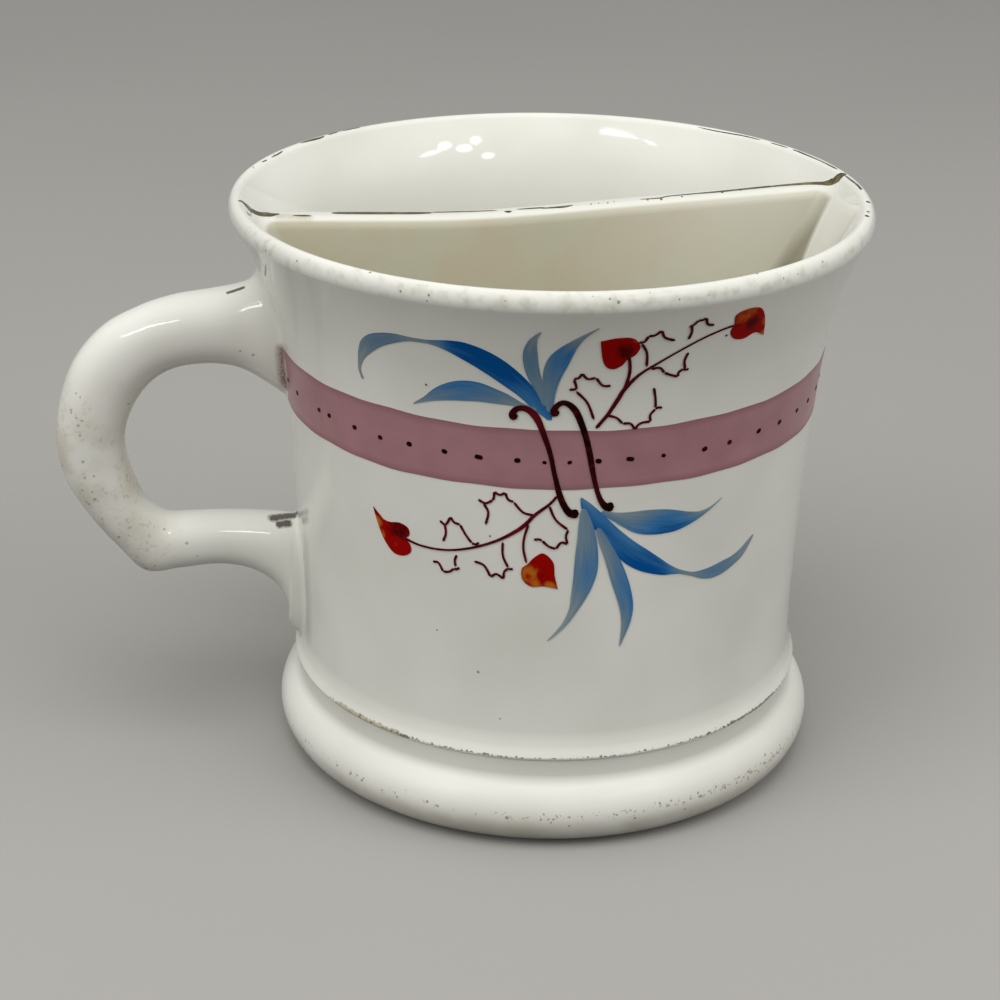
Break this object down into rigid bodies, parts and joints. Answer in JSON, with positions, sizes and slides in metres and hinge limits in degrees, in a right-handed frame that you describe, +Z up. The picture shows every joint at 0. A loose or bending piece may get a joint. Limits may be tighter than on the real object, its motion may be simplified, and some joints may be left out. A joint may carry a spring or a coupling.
{
  "type": "shaving scuttle",
  "caption": "Porcelain shaving mug with a flared rim, ear handle and moulded foot, divided inside into a brush well and a pierced soap shelf.",
  "frame": {"origin": "on the table, under the middle of the outline seen from above, handle included", "axes": "+Z up, -X towards the handle, -Y towards the soap pocket and the painted face"},
  "size_m": [0.1238, 0.0962, 0.089],
  "materials": {
    "porcelain_glaze": "gloss glaze, white with a warm grey cast",
    "soap_stained_glaze": "gloss glaze dulled and tinted beige by soap"
  },
  "bodies": {
    "root": {"body_wall": "porcelain_glaze", "foot_ring": "porcelain_glaze", "base_floor": "porcelain_glaze", "handle": "porcelain_glaze", "divider": "soap_stained_glaze", "soap_shelf": "soap_stained_glaze"}
  },
  "joints": []
}
